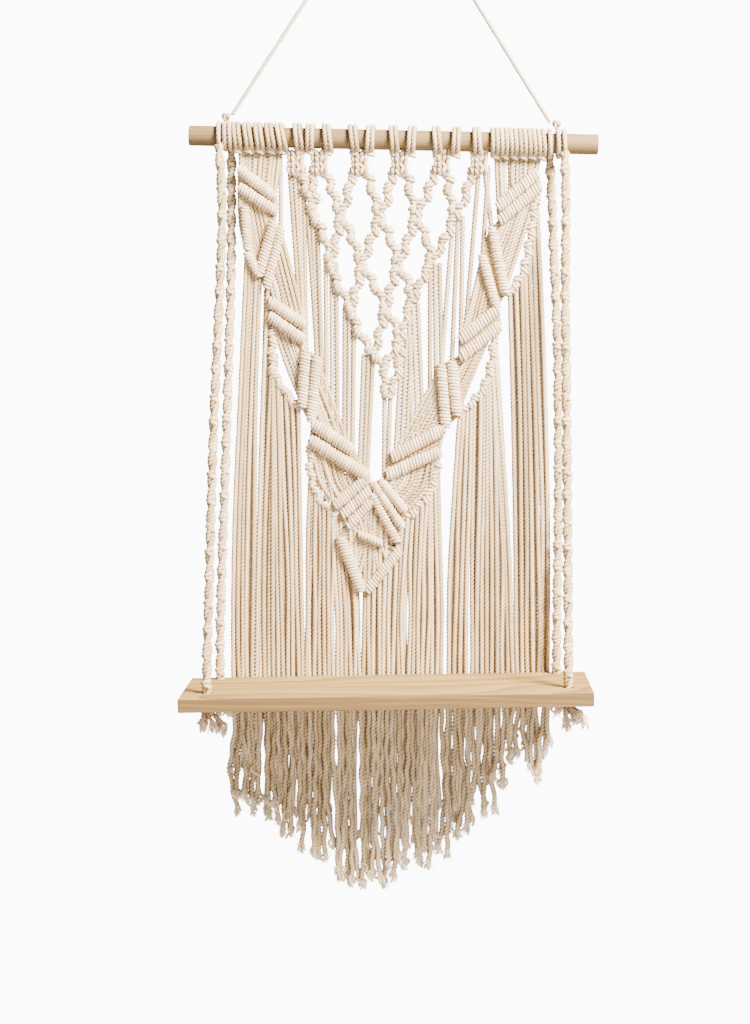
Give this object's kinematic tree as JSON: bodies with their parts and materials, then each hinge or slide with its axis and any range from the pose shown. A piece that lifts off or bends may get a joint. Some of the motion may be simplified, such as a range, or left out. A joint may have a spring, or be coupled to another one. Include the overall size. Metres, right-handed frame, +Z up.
{
  "type": "macrame wall shelf with hanging rod",
  "caption": "Cream cotton macrame wall hanging knotted onto a round wooden rod, with a pine shelf board held by four knotted side ropes and a long pointed fringe",
  "frame": {"origin": "the top of the hanging cord's bend, where a wall hook carries it", "axes": "+X to the viewer's right along the rod, +Y away from the viewer into the wall, +Z up"},
  "size_m": [0.4295, 0.1498, 1.057],
  "materials": {
    "rod_wood": "smooth unvarnished pale wood",
    "board_pine": "planed pine, grain along the board",
    "cotton": "matt three-ply twisted cotton cord",
    "cord_cotton": "matt smooth twisted cotton cord"
  },
  "bodies": {
    "root": {"rod": "rod_wood", "board": "board_pine", "macrame": "cotton", "rope_left_front": "cotton", "rope_left_rear": "cotton", "rope_right_front": "cotton", "rope_right_rear": "cotton", "tassel_left_front": "cotton", "tassel_left_rear": "cotton", "tassel_right_front": "cotton", "tassel_right_rear": "cotton", "hanging_cord": "cord_cotton", "cord_tie_left": "cord_cotton", "cord_tie_right": "cord_cotton"}
  },
  "joints": []
}
